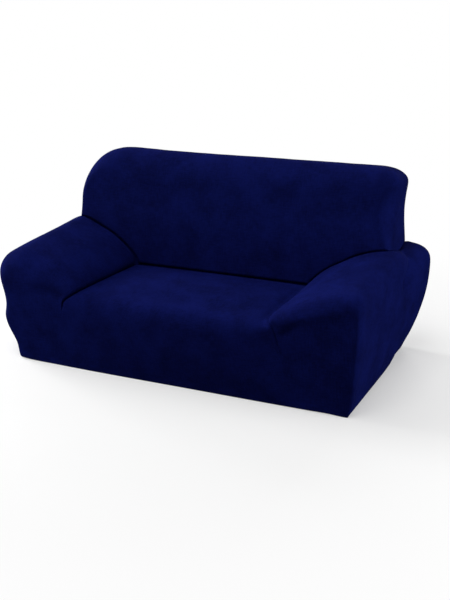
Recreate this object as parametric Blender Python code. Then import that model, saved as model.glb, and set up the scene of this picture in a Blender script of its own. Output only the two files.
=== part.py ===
"""A fitted stretch cover for a two-seat sofa, standing in the shape that the sofa gives it.

Metres, +Z up, the sofa faces -Y. The origin is on the floor under the middle of the cover.
Five cut panels are modelled: the seat with its front skirt, the two arms, the inside back
and the outside back. Each is a sheet of cloth, hollow underneath and open at the hem.

Every panel is a grid of points. Along the seat and the arms the rows are counted from the
back to the front and then down to the hem, with the same numbers on every panel:
    -2..-1 flat on the rear       -1..0 round the rear edge  0..1 beside the back
     1..2 over seat and arm        2..3 round the front edge  3..4 down the front face
Across an arm the columns are counted up the outer side (0..1), round the shoulder (1..2)
and over the top to the crease beside the seat (2..3).
"""
import bpy
import bmesh
import numpy as np
from mathutils import Vector

for old in list(bpy.data.objects):
    bpy.data.objects.remove(old, do_unlink=True)

# ---- the cloth -------------------------------------------------------------------------
CLOTH = 0.0025          # thickness of the stretched double jersey
HALF_GAP = 0.00015      # half of the gap that separates two panels
TUCK = 0.030            # how deep the cloth is pushed into the creases round the seat
TUCK_ROLL = 0.030       # how far from a crease the cloth starts to roll into it
BACK_TUCK = 0.018       # the same where an arm meets the back
BACK_ROLL = 0.022
BACK_TUCK_REAR = 0.15   # share of that depth which is left at the rear edge
TUCK_FRONT = 0.45       # share of the seat crease's depth which is left on the front face

# ---- overall size ----------------------------------------------------------------------
FRONT_Y = -0.4755       # front faces of arms and skirt
REAR_Y = 0.4755         # outside back, up to the arm tops
HEM_FRONT_Y = -0.459    # the hem is drawn in under the seat
REAR_LEAN = 0.090       # how far forward the outside back leans at its top
OUTSIDE_HEM_X = 0.800   # half of the straight part of the rear hem
LEAN_FROM = 0.54        # the outside back starts to lean at this height
LEAN_OVER = 0.42        # and leans more over this much height

# ---- the seat --------------------------------------------------------------------------
CREASE_Y = 0.107        # crease between seat and back
CREASE_Z = 0.375        # height of the creases round the seat
SEAT_BACK_Z = 0.388
SEAT_CROWN_Z = 0.405
SEAT_EDGE_Z = 0.399     # where the front edge starts to roll over
SEAT_EDGE_Y = -0.344
SKIRT_TOP_Z = 0.262     # where the roll ends in the front skirt
SKIRT_BOW = 0.004

# ---- the seam between seat and arm, at its turn over the front edge ----------------------
SEAM_TURN_Y = -0.385
SEAM_FACE_Y = -0.468
SEAM_FOOT_X = 0.620     # where the seam meets the hem

# ---- the back --------------------------------------------------------------------------
FACE_TILT = 0.050       # lean of the inside back, metres back for each metre up
FACE_FLAT_Z = 0.62      # above this the inside back leans a little more
FACE_MORE = 0.012
FACE_MORE_OVER = 0.20
FACE_FADE = 0.50        # the cloth behind the seat leans too, over this share of its depth
TOP_SAG = 0.004         # the top edge hangs a little between its corners
LEFT_CORNER = (-0.567, 0.712, 0.250, 0.242)     # centre x, z and radii of the round corner
RIGHT_CORNER = (0.733, 0.866, 0.126, 0.076)
RIGHT_SIDE_Z = (0.50, 0.60, 0.72, 0.79, 0.866)  # the right side bulges under its corner
RIGHT_SIDE_X = (0.838, 0.838, 0.839, 0.845, 0.859)

# ---- the arms: a row for each section, from the rear to the front -----------------------
# y, crest x, crest height, side x, height where the shoulder starts, hem x
LEFT_SECTIONS = (
    (0.446, 0.795, 0.570, 0.970, 0.45, 0.850),
    (0.300, 0.795, 0.575, 0.930, 0.46, 0.845),
    (0.107, 0.790, 0.601, 0.908, 0.47, 0.838),
    (0.000, 0.790, 0.590, 0.910, 0.46, 0.834),
    (-0.150, 0.790, 0.576, 0.912, 0.45, 0.833),
    (-0.300, 0.790, 0.562, 0.914, 0.44, 0.833),
    (-0.420, 0.790, 0.546, 0.914, 0.43, 0.833),
)
RIGHT_SECTIONS = (
    (0.446, 0.836, 0.556, 0.970, 0.45, 0.850),
    (0.320, 0.836, 0.541, 0.942, 0.45, 0.846),
    (0.225, 0.836, 0.562, 0.926, 0.46, 0.853),
    (0.107, 0.836, 0.584, 0.914, 0.47, 0.853),
    (0.000, 0.834, 0.577, 0.904, 0.46, 0.850),
    (-0.150, 0.832, 0.562, 0.894, 0.45, 0.845),
    (-0.300, 0.830, 0.548, 0.887, 0.45, 0.840),
    (-0.420, 0.828, 0.535, 0.884, 0.46, 0.836),
)
# height, share of the way in from the side to the hem: the cloth is drawn in unevenly,
# which fades towards the rear
LEFT_DRAW_IN = ((0.0, 1.0), (0.085, 0.99), (0.123, 0.65), (0.165, 0.34), (0.212, 0.13),
                (0.270, 0.27), (0.335, 0.24), (0.400, 0.02), (0.480, 0.0))
RIGHT_DRAW_IN = ((0.0, 1.0), (0.045, 0.70), (0.120, 0.30), (0.175, 0.10), (0.300, 0.0),
                 (0.480, 0.0))

LEFT_ARM = dict(
    name="arm_panel_left", side=-1, sections=LEFT_SECTIONS, draw_in=LEFT_DRAW_IN,
    back_x=0.817,           # side of the back that the arm meets
    crease_x=(0.482, 0.492, 0.540), face_seam_z=0.345,
    crease_fade=0.20,       # share of the front seam over which the crease runs out
    shoulder=2.0,           # 2 is a plain ellipse, more is squarer
    front_round=(0.055, 0.060, 0.055, 0.040),   # depth: outer edge, shoulder, top, tip
    front_shrink=(0.187, 0.100),                # how much narrower and lower the front face is
)
RIGHT_ARM = dict(
    name="arm_panel_right", side=1, sections=RIGHT_SECTIONS, draw_in=RIGHT_DRAW_IN,
    back_x=0.838,
    crease_x=(0.476, 0.478, 0.492), face_seam_z=0.347,
    crease_fade=0.52,
    shoulder=2.5,
    front_round=(0.014, 0.030, 0.060, 0.050),
    front_shrink=(0.055, 0.115),
)
REAR_ROUND = 0.030
REAR_FLAT = 0.010           # the cloth ends flat on the outside back, a little past the edge
# the arm top from the crease to the crest: share of the width, share of the rise
ARM_TOP = ((0.0, 0.0), (0.04, 0.17), (0.10, 0.30), (0.26, 0.47), (0.45, 0.66), (0.68, 0.85),
           (0.90, 0.97), (1.0, 1.0))

NAVY = (0.0055, 0.0075, 0.0650, 1.0)
INSIDE = Vector((0.0, 0.1, 0.2))        # a point in the sofa: every panel faces away from it
NEAR = 0.02                 # step along an outline from which its direction is taken


# ---- plain arithmetic ------------------------------------------------------------------
def through(knots, values, at):
    """Smooth curve through the given points, with its slopes taken from the neighbours."""
    knots = np.asarray(knots, float)
    values = np.asarray(values, float)
    at = np.clip(at, knots[0], knots[-1])
    slope = np.gradient(values, knots)
    i = np.clip(np.searchsorted(knots, at, side="right") - 1, 0, len(knots) - 2)
    span = knots[i + 1] - knots[i]
    t = (at - knots[i]) / span
    start = values[i] * (1 + 2 * t) * (1 - t) ** 2 + slope[i] * span * t * (1 - t) ** 2
    end = values[i + 1] * t * t * (3 - 2 * t) + slope[i + 1] * span * t * t * (t - 1)
    return start + end


def ease(t):
    """0 to 1 with level ends."""
    t = np.clip(t, 0.0, 1.0)
    return t * t * (3 - 2 * t)


def mix(a, b, t):
    return a + (b - a) * t


def roll(distance, width):
    """1 at a crease, 0 a roll's width away from it, shaped like a quarter of a circle."""
    left = np.clip(1.0 - distance / width, 0.0, 1.0)
    return 1.0 - np.sqrt(1.0 - left ** 2)


def rear_y(z):
    return REAR_Y - REAR_LEAN * ease((z - LEAN_FROM) / LEAN_OVER)


def face_y(z):
    """Inside back: a leaning plane, with a little more lean above the arms."""
    return CREASE_Y + FACE_TILT * (z - CREASE_Z) + FACE_MORE * ease((z - FACE_FLAT_Z) / FACE_MORE_OVER)


# ---- the seam between seat and arm -----------------------------------------------------
def seam(arm, rows):
    """x, y, z of the crease, its depth, and the direction in which the cloth is tucked."""
    over = np.clip(rows - 1, 0, 1)
    turn = np.clip(rows - 2, 0, 1) * np.pi / 2
    down = np.clip(rows - 3, 0, 1)
    x_back, x_turn, x_face = arm["crease_x"]
    x = mix(x_back, x_turn, over) + (x_face - x_turn) * (1 - np.cos(turn))
    x = mix(x, SEAM_FOOT_X, down)
    y = mix(CREASE_Y, SEAM_TURN_Y, over) + (SEAM_FACE_Y - SEAM_TURN_Y) * np.sin(turn)
    y = mix(y, HEM_FRONT_Y, down)
    z = arm["face_seam_z"] + (CREASE_Z - arm["face_seam_z"]) * np.cos(turn)
    z = z * (1 - down)
    depth = TUCK * mix(1.0, TUCK_FRONT, np.sin(turn)) * ease(1 - down / arm["crease_fade"])
    return x, y, z, depth, np.sin(turn), -np.cos(turn)


# ---- an arm ----------------------------------------------------------------------------
def arm_height(arm, x, y):
    """Height of the arm top over a point, out to where the shoulder becomes the side."""
    table = np.array(arm["sections"])[::-1]
    crest_x, crest_z, side_x, side_z = (through(table[:, 0], table[:, k], y) for k in (1, 2, 3, 4))
    inner = np.clip((x - arm["crease_x"][0]) / (crest_x - arm["crease_x"][0]), 0.0, 1.0)
    top = np.array(ARM_TOP)
    rise = CREASE_Z + (crest_z - CREASE_Z) * through(top[:, 0], top[:, 1], inner)
    power = arm["shoulder"]
    outer = np.clip((x - crest_x) / (side_x - crest_x), 0.0, 1.0)
    fall = side_z + (crest_z - side_z) * (1 - outer ** power) ** (1 / power)
    return np.where(x < crest_x, rise, fall)


def arm_section(arm, columns, y):
    """x and z of a section: up the outer side, round the shoulder, over to the crease."""
    table = np.array(arm["sections"])[::-1]
    crest_x, crest_z, side_x, side_z, hem_x = (
        through(table[:, 0], table[:, k], y) for k in (1, 2, 3, 4, 5))
    low = np.clip(columns, 0, 1)
    z = side_z * low
    drawn = np.array(arm["draw_in"])
    even = (1 - low) ** 2
    share = mix(through(drawn[:, 0], drawn[:, 1], z), even, ease(y / REAR_Y))
    x = side_x - (side_x - hem_x) * share

    power = arm["shoulder"]
    last = np.arccos(((arm["back_x"] - crest_x) / (side_x - crest_x)) ** (power / 2))
    angle = np.clip(columns - 1, 0, 1) * last
    around = columns > 1
    x = np.where(around, crest_x + (side_x - crest_x) * np.cos(angle) ** (2 / power), x)
    z = np.where(around, side_z + (crest_z - side_z) * np.sin(angle) ** (2 / power), z)

    over = columns > 2
    x_top = mix(arm["back_x"], arm["crease_x"][0], np.clip(columns - 2, 0, 1))
    x = np.where(over, x_top, x)
    z = np.where(over, arm_height(arm, x_top, y), z)
    return x, z


def rear_inset(v):
    """How far a rear edge has turned inwards: rows 0..-1 turn it, -1..-2 are flat."""
    turned = 1 - np.cos(np.clip(-v, 0, 1) * np.pi / 2)
    return REAR_ROUND * turned + REAR_FLAT * np.clip(-v - 1, 0, 1)


def back_tuck(v):
    """Depth of the crease where arm and back meet; it fades towards the rear edge."""
    return BACK_TUCK * mix(BACK_TUCK_REAR, 1.0, ease(v))


def arm_shape(arm, u, v):
    """The arm as it would be with no cloth tucked in; u counts columns and v counts rows."""
    front = through((0, 1, 2, 3), arm["front_round"], u)
    rear = np.clip(-v, 0, 1) * np.pi / 2
    turn = np.clip(v - 2, 0, 1) * np.pi / 2
    y = np.where(v < 1, mix(REAR_Y - REAR_ROUND, CREASE_Y, np.clip(v, 0, 1)),
                 mix(CREASE_Y, FRONT_Y + front, np.clip(v - 1, 0, 1)))
    x, z = arm_section(arm, u, y)

    # the rear end is rounded: the section moves inwards as it turns the edge
    x_before, z_before = arm_section(arm, np.clip(u - NEAR, 0, 3), y)
    x_after, z_after = arm_section(arm, np.clip(u + NEAR, 0, 3), y)
    length = np.hypot(x_after - x_before, z_after - z_before)
    x = x - (z_after - z_before) / length * rear_inset(v)
    z = z + (x_after - x_before) / length * rear_inset(v) * ease(u / 0.25)

    # at the front end it shrinks towards the foot of the seam
    narrower, lower = arm["front_shrink"]
    x = x - (x - SEAM_FOOT_X) * narrower * (1 - np.cos(turn))
    z = z - z * lower * (1 - np.cos(turn))
    y = y + REAR_ROUND * np.sin(rear) - front * np.sin(turn)
    return x, y, z


def arm_grid(arm, columns, rows):
    """Points of an arm panel, one for each row and column."""
    u = np.asarray(columns, float)[None, :] + np.zeros((len(rows), 1))
    v = np.asarray(rows, float)[:, None] + np.zeros((1, len(columns)))
    x, y, z = arm_shape(arm, u, np.minimum(v, 3))

    # the column beside the back keeps to the plane of the back's side
    beside = (v <= 1) & (u <= 2)
    x_edge = arm_shape(arm, np.full_like(v, 2.0), np.minimum(v, 3))[0]
    x_back = arm["back_x"] - rear_inset(v)
    x = np.where(beside, x + (x_back - x_edge) * ease(u - 1), x)

    # the end of each row is pinned to the crease beside the seat
    end = arm_shape(arm, np.full_like(v, 3.0), np.minimum(v, 3))
    seam_now = seam(arm, np.minimum(v, 3))
    pin = np.clip(u - 2, 0, 1) ** 2 * (v >= 1)
    x = x + pin * (seam_now[0] - end[0])
    y = y + pin * (seam_now[1] - end[1])
    z = z + pin * (seam_now[2] - end[2])

    # down the front face the outline is drawn in towards the foot of the seam
    down = np.clip(v - 3, 0, 1)
    x = mix(x, SEAM_FOOT_X, down)
    y = mix(y, HEM_FRONT_Y, down)
    z = z * (1 - down)

    # the cloth rolls into the crease beside the seat and into the one round the back
    seam_x, seam_y, seam_z, depth, tuck_y, tuck_z = seam(arm, v)
    to_seam = np.sqrt((x - seam_x) ** 2 + (y - seam_y) ** 2 + (z - seam_z) ** 2)
    beside_seat = roll(to_seam, TUCK_ROLL) * (v >= 1)
    out = np.maximum(x - x_back, 0.0)
    ahead = np.maximum(CREASE_Y - y, 0.0)
    round_back = roll(np.hypot(out, ahead), BACK_ROLL) * (u > 1)
    y = y + tuck_y * depth * beside_seat
    z = z + np.minimum(tuck_z * depth * beside_seat, -back_tuck(v) * round_back)

    # beside the back the rear edge follows the lean of the outside back
    y = y + (rear_y(z) - REAR_Y) * np.clip(1 - v, 0, 1)

    # the row behind the seat lies in the leaning plane of the inside back
    lean = np.clip(1 - (v - 1) / FACE_FADE, 0, 1) ** 2 * ease(u - 1) * (v >= 1)
    y = y + (face_y(z) - CREASE_Y) * lean
    x = x + HALF_GAP * ((u >= 3) | ((u == 2) & (v <= 1)))
    y = y - HALF_GAP * ((v == 1) & (u >= 2))
    return np.stack([x * arm["side"], y, z], axis=-1)


def seat_grid(columns, rows):
    """Points of the seat panel; columns run 0..1 from the left arm to the right one."""
    u = np.asarray(columns, float)[None, :] + np.zeros((len(rows), 1))
    v = np.asarray(rows, float)[:, None] + np.zeros((1, len(columns)))
    left = seam(LEFT_ARM, v)
    right = seam(RIGHT_ARM, v)
    x = mix(-left[0] + HALF_GAP, right[0] - HALF_GAP, u)
    y_edge = mix(left[1], right[1], u)
    z_edge = mix(left[2], right[2], u)

    over = np.clip(v - 1, 0, 1)
    turn = np.clip(v - 2, 0, 1) * np.pi / 2
    down = np.clip(v - 3, 0, 1)
    y_mid = mix(CREASE_Y, SEAT_EDGE_Y, over) + (FRONT_Y - SEAT_EDGE_Y) * np.sin(turn)
    y_mid = mix(y_mid, HEM_FRONT_Y, down) - SKIRT_BOW * np.sin(down * np.pi)
    z_mid = through((0, 0.45, 0.75, 1), (SEAT_BACK_Z, 0.400, SEAT_CROWN_Z, SEAT_EDGE_Z), over)
    z_mid = z_mid - (SEAT_EDGE_Z - SKIRT_TOP_Z) * (1 - np.cos(turn))
    z_mid = np.where(v > 3, SKIRT_TOP_Z * (1 - down), z_mid)
    crown = 1 - abs(2 * u - 1) ** 3
    y = mix(y_edge, y_mid, crown)
    z = mix(z_edge, z_mid, crown)

    side_roll = roll(np.minimum(x + left[0], right[0] - x), TUCK_ROLL)
    rear_roll = roll(np.maximum(CREASE_Y - y, 0), TUCK_ROLL)
    depth = mix(left[3], right[3], u)
    y = y + mix(left[4], right[4], u) * depth * side_roll
    both = np.where(v < 2, 1 - (1 - side_roll) * (1 - rear_roll), side_roll)
    z = z + mix(left[5], right[5], u) * depth * both
    y = y + (face_y(z) - CREASE_Y) * np.clip(1 - (v - 1) / FACE_FADE, 0, 1) ** 2
    y = y - HALF_GAP * (v == 1)
    return np.stack([x, y, z], axis=-1)


# ---- the back --------------------------------------------------------------------------
def back_outline(t, bottom_left, bottom_right):
    """Widest outline of the back: left side 0..1, corner, top 2..3, corner, right side 4..5."""
    cx, cz, rx, rz = LEFT_CORNER
    dx, dz, sx, sz = RIGHT_CORNER
    part = np.clip(np.floor(t), 0, 4).astype(int)
    f = t - part
    turn = f * np.pi / 2
    side_x = through(RIGHT_SIDE_Z, RIGHT_SIDE_X, mix(dz, bottom_right, f))
    x = np.choose(part, [cx - rx + 0 * f, cx - rx * np.cos(turn), mix(cx, dx, f),
                         dx + sx * np.sin(turn), side_x])
    top_z = mix(cz + rz, dz + sz, f) - TOP_SAG * np.sin(f * np.pi)
    z = np.choose(part, [mix(bottom_left, cz, f), cz + rz * np.sin(turn), top_z,
                         dz + sz * np.cos(turn), mix(dz, bottom_right, f)])
    return x, z


def back_grid(columns, rows):
    """Points of the inside back: rows to 1 as on the arms, 1..2 front edge, 2..3 face."""
    t = np.asarray(columns, float)[None, :] + np.zeros((len(rows), 1))
    v = np.asarray(rows, float)[:, None] + np.zeros((1, len(columns)))

    # radii of the edges, on the left side, the two corners, the top and the right side
    along = (0.0, 0.6, 1.0, 1.5, 2.0, 3.0, 3.5, 4.0, 4.4, 5.0)
    front_deep = through(along, (.006, .022, .045, .080, .100, .100, .075, .040, .018, .006), t)
    front_in = through(along, (.006, .016, .030, .080, .120, .115, .075, .028, .014, .006), t)
    rear_deep = through(along, (.030, .034, .045, .090, .115, .115, .080, .045, .034, .030), t)
    rear_in = through(along, (.030, .030, .032, .055, .070, .070, .045, .032, .030, .030), t)

    rear = np.clip(-v, 0, 1) * np.pi / 2
    turn = np.clip(v - 1, 0, 1) * np.pi / 2
    low = []
    for arm in (LEFT_ARM, RIGHT_ARM):
        y_low = mix(REAR_Y - REAR_ROUND, CREASE_Y, np.clip(v, 0, 1)) + REAR_ROUND * np.sin(rear)
        low.append(arm_height(arm, np.full_like(v, arm["back_x"]), y_low) - back_tuck(v)
                   - rear_inset(v))
    x, z = back_outline(t, *low)
    x_before, z_before = back_outline(np.clip(t - NEAR, 0, 5), *low)
    x_after, z_after = back_outline(np.clip(t + NEAR, 0, 5), *low)
    length = np.hypot(x_after - x_before, z_after - z_before)
    inset = rear_in * (1 - np.cos(rear)) + REAR_FLAT * np.clip(-v - 1, 0, 1)
    inset = inset + front_in * (1 - np.cos(turn))
    x = x + (z_after - z_before) / length * inset
    z = z - (x_after - x_before) / length * inset

    y_front = face_y(z) + front_deep
    y_back = rear_y(z) - rear_deep
    y = mix(y_back, y_front, np.clip(v, 0, 1))
    y = y + rear_deep * np.sin(rear) - front_deep * np.sin(turn)

    # down the face the outline is drawn in to the crease behind the seat
    down = np.clip(v - 2, 0, 1)
    x = mix(x, mix(-LEFT_ARM["crease_x"][0], RIGHT_ARM["crease_x"][0], t / 5), down)
    z = mix(z, CREASE_Z - TUCK, down)
    for arm, near in ((LEFT_ARM, t), (RIGHT_ARM, 5 - t)):
        level = np.full_like(v, CREASE_Y)
        on_arm = arm_height(arm, mix(arm["back_x"], arm["crease_x"][0], down), level)
        straight = mix(arm_height(arm, np.full_like(v, arm["back_x"]), level), CREASE_Z, down)
        z = z + (on_arm - straight) * np.clip(1 - near, 0, 1) ** 2 * (v > 2)
    y = np.where(v >= 2, face_y(z) + HALF_GAP, y)
    beside_arm = ((t <= 0.5) | (t >= 4.5)) & (v < 2)
    x = x - HALF_GAP * np.sign(x) * beside_arm
    return np.stack([x, y, z], axis=-1)


def outside_grid(left_edge, back_edge, right_edge, rows):
    """The outside back: its outline is the rear edge of the other panels."""
    edge = np.concatenate([left_edge[:-1], back_edge, right_edge[:-1][::-1]])
    run = np.concatenate([[0], np.cumsum(np.linalg.norm(np.diff(edge, axis=0), axis=1))])
    foot = np.stack([mix(-OUTSIDE_HEM_X, OUTSIDE_HEM_X, run / run[-1]),
                     np.full(len(run), REAR_Y), np.zeros(len(run))], axis=-1)
    step = np.diff(edge, axis=0)
    square = np.stack([step[:, 2], 0 * step[:, 1], -step[:, 0]], axis=-1)
    square = square / np.linalg.norm(square, axis=1)[:, None]
    before = np.concatenate([square[:1], square])
    after = np.concatenate([square, square[-1:]])
    mitre = (before + after) / (1 + (before * after).sum(axis=1))[:, None]
    edge = edge + mitre * 2 * HALF_GAP
    down = np.asarray(rows, float)[:, None, None]
    grid = edge[None] + (foot - edge)[None] * down
    grid[..., 2] = np.maximum(grid[..., 2], 0.0)
    grid[..., 1] = rear_y(grid[..., 2])
    return grid


# ---- from points to solids ---------------------------------------------------------------
def cloth_material():
    """Matt navy knitted jersey."""
    material = bpy.data.materials.new("stretch_jersey_navy")
    material.use_nodes = True
    shader = material.node_tree.nodes["Principled BSDF"]
    shader.inputs["Base Color"].default_value = NAVY
    shader.inputs["Roughness"].default_value = 0.9
    shader.inputs["Metallic"].default_value = 0.0
    return material


def panel(name, grid, drop=None):
    """A sheet of cloth on a grid of points, thickened to its inner side."""
    rows, columns = grid.shape[:2]
    index = np.arange(rows * columns).reshape(rows, columns)
    quads = np.stack([index[:-1, :-1], index[:-1, 1:], index[1:, 1:], index[1:, :-1]], axis=-1)
    if drop is not None:
        quads = quads[~drop]
    mesh = bpy.data.meshes.new(name)
    mesh.from_pydata(grid.reshape(-1, 3).tolist(), [], quads.reshape(-1, 4).tolist())
    work = bmesh.new()
    work.from_mesh(mesh)
    bmesh.ops.remove_doubles(work, verts=work.verts, dist=1e-6)
    loose = [vert for vert in work.verts if not vert.link_faces]
    bmesh.ops.delete(work, geom=loose, context="VERTS")
    largest = max(work.faces, key=lambda face: face.calc_area())
    if largest.normal.dot(largest.calc_center_median() - INSIDE) < 0:
        bmesh.ops.reverse_faces(work, faces=work.faces)
    work.to_mesh(mesh)
    work.free()
    mesh.shade_smooth()
    mesh.materials.append(cloth_material())
    sheet = bpy.data.objects.new(name, mesh)
    bpy.context.scene.collection.objects.link(sheet)
    thick = sheet.modifiers.new("cloth thickness", "SOLIDIFY")
    thick.thickness = CLOTH
    thick.offset = -1.0
    return sheet


# ---- how finely each panel is divided ----------------------------------------------------
SEAT_DEPTH = 0.50
SEAT_WIDTH = 0.96
quarter = np.array((0.0, 0.076, 0.293, 0.617, 1.0))      # shares of a roll's width
behind = (-2, -1, -0.67, -0.33, 0, 0.25, 0.5, 0.75)
over = np.concatenate([1 + quarter * TUCK_ROLL / SEAT_DEPTH, (1.15, 1.28, 1.42, 1.56, 1.7, 1.83, 1.93, 2)])
down_front = (2.25, 2.5, 2.75, 3, 3.1, 3.22, 3.36, 3.5, 3.66, 3.82, 4)
arm_rows = np.concatenate([behind, over, down_front])
arm_columns = np.concatenate([
    (0, 0.12, 0.25, 0.38, 0.54, 0.72, 0.88, 1, 1.25, 1.5, 1.75),
    (2, 2.13, 2.27, 2.41, 2.55, 2.69, 2.82), 3 - quarter[::-1] * 0.09])
seat_rows = np.concatenate([over, down_front])
seat_edge = quarter * TUCK_ROLL / SEAT_WIDTH
seat_columns = np.concatenate([seat_edge, np.linspace(0.09, 0.91, 10), 1 - seat_edge[::-1]])
back_columns = np.concatenate([
    (0, 0.25, 0.5, 0.75), np.linspace(1, 2, 7), np.linspace(2, 3, 10)[1:],
    np.linspace(3, 4, 6)[1:], (4.2, 4.4, 4.6, 4.8, 5)])
back_rows = behind + (1, 1.25, 1.5, 1.75, 2, 2.15, 2.32, 2.5, 2.68, 2.85, 3)
outside_rows = (0, 0.12, 0.3, 0.5, 0.75, 1)

# the arms have no cloth inside the back
row_step, column_step = np.meshgrid(arm_rows[:-1], arm_columns[:-1], indexing="ij")
inside_back = (row_step < 1) & (column_step >= 2)

left_points = arm_grid(LEFT_ARM, arm_columns, arm_rows)
right_points = arm_grid(RIGHT_ARM, arm_columns, arm_rows)
back_points = back_grid(back_columns, back_rows)
outer = arm_columns <= 2
outside_points = outside_grid(left_points[0, outer], back_points[0], right_points[0, outer],
                              outside_rows)

panel("arm_panel_left", left_points, drop=inside_back)
panel("arm_panel_right", right_points, drop=inside_back)
panel("seat_panel", seat_grid(seat_columns, seat_rows))
panel("inside_back_panel", back_points)
panel("outside_back_panel", outside_points)
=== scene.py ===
import math
import bpy
import bmesh
import numpy as np
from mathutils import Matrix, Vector


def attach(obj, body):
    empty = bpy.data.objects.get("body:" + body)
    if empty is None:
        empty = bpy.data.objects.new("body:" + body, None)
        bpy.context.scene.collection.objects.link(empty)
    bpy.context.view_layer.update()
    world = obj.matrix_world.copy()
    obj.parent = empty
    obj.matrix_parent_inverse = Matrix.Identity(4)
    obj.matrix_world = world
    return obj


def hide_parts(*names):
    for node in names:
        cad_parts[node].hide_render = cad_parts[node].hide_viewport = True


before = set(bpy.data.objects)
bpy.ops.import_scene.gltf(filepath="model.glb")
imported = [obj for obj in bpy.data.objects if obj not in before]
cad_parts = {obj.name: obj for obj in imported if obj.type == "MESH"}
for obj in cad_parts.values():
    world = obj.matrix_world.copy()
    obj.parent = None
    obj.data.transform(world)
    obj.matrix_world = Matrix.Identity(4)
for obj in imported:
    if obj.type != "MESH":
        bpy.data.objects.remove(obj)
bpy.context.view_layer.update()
print("frame loaded:", ", ".join(sorted(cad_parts)))

# The cover is five panels of stretch cloth, each one sheet on a grid of points. Sizes are in metres,
# the front faces -Y, and the hem is at z = 0.
# Rows v of seat and arms: -2..-1 flat on the rear, -1..0 round the rear edge, 0..1 beside the back,
# 1..2 over seat and arm, 2..3 round the front edge, 3..4 over the front face to the hem.
# Columns u of an arm: 0..1 up the outer side, 1..2 round the shoulder, 2..3 over the top to the
# crease. Columns of the seat: 0..1 from the left seam to the right one.
# Rows of the inside back: up to 0 as above, 0..1 over its edge, 1..2 round to its face, 2..3 down the
# face. Its columns t: 0..1 up the left side, 1..2 corner, 2..3 top, 3..4 corner, 4..5 right side.
cloth = dict(
    thick=0.0025, halfGap=0.00015,              # the sheet, and half of the gap between two panels
    gapFade=0.4,                                # the gap closes in this share of the crease's run-out
    tuck=0.030, tuckRoll=0.012,                 # depth and width of the creases round the seat
    backTuck=0.022, backRoll=0.009,             # the same where an arm meets the back
    backTuckRear=0.15)                          # share of that depth left at the rear edge
cover = dict(
    frontY=-0.4755, rearY=0.4755,
    hemFrontY=-0.452, hemInZ=0.34,              # arm fronts lean in to the hem below this height
    rearLean=0.090, leanFrom=0.54, leanOver=0.42,       # the outside back leans forward at its top
    outsideHemX=0.800,
    rearRound=0.030, rearFlat=0.010,            # radius of the rear edge, and the flat strip on the rear
    creaseY=0.107, creaseZ=0.375)               # crease between seat and back
# how far and how wide the cloth curls under beside a crease; near the corners of the seat the
# sideways curl fades out, so that the three panels meet there
curl = dict(back=0.013, seat=0.012, width=0.011, lip=0.004, corner=0.010,
            fromColumn=1.9, overColumns=0.1,            # the arm's curl at the back starts here
            armShare=0.85, clearArm=0.002, clearSeat=0.004)     # the back's own starts above its creases
# seam of seat and arm: where it turns down, its front, its foot, and the power of its curve
seamLine = dict(turnY=-0.385, faceY=-0.468, footX=0.620, square=0.75)
slopeStep = 0.02            # small step along the columns, from which a slope is worked out


def through(knots, values, at):
    # cubic curve through the knots, whose slopes come from the neighbouring knots
    knots, values = np.asarray(knots, float), np.asarray(values, float)
    at = np.clip(at, knots[0], knots[-1])
    slope = np.gradient(values, knots)
    i = np.clip(np.searchsorted(knots, at, side="right") - 1, 0, len(knots) - 2)
    span = knots[i + 1] - knots[i]
    t = (at - knots[i]) / span
    start = values[i] * (1 + 2 * t) * (1 - t) ** 2 + slope[i] * span * t * (1 - t) ** 2
    end = values[i + 1] * t * t * (3 - 2 * t) + slope[i + 1] * span * t * t * (t - 1)
    return start + end


def ease(t):
    # 0 to 1 with level ends: 3t^2 - 2t^3
    t = np.clip(t, 0.0, 1.0)
    return t * t * (3 - 2 * t)


def mix(a, b, t):
    # straight from a to b: a + (b - a)t
    return a + (b - a) * t


def roll(distance, width):
    # quarter circle: 1 in the crease, 0 a roll's width away
    left = np.clip(1.0 - distance / width, 0.0, 1.0)
    return 1.0 - np.sqrt(1.0 - left ** 2)


def toChain(points, chain):
    # least distance from each point to a chain of straight pieces: |p - a - t(b - a)|, t in 0..1
    flat = points.reshape(-1, 3)
    best = np.full(len(flat), 1e9)
    for a, b in zip(chain[:-1], chain[1:]):
        run = b - a
        t = np.clip((flat - a) @ run / max(run @ run, 1e-12), 0, 1)
        best = np.minimum(best, ((flat - a - t[:, None] * run) ** 2).sum(axis=1))
    return np.sqrt(best).reshape(points.shape[:-1])


def rearY(z):
    # outside back: upright, then leaning forward towards the top
    return cover["rearY"] - cover["rearLean"] * ease((z - cover["leanFrom"]) / cover["leanOver"])


def faceY(z):
    # inside back: a leaning plane, with a little more lean above the arms
    return (cover["creaseY"] + back["tilt"] * (z - cover["creaseZ"])
            + back["more"] * ease((z - back["flatZ"]) / back["moreOver"]))


def rearInset(v):
    # how far the cloth is turned in at the rear edge: a quarter circle, then a flat strip
    turned = 1 - np.cos(np.clip(-v, 0, 1) * np.pi / 2)
    return cover["rearRound"] * turned + cover["rearFlat"] * np.clip(-v - 1, 0, 1)


def backTuck(v):
    # depth of the crease between arm and back, which runs out towards the rear edge
    return cloth["backTuck"] * mix(cloth["backTuckRear"], 1.0, ease(v))


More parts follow.
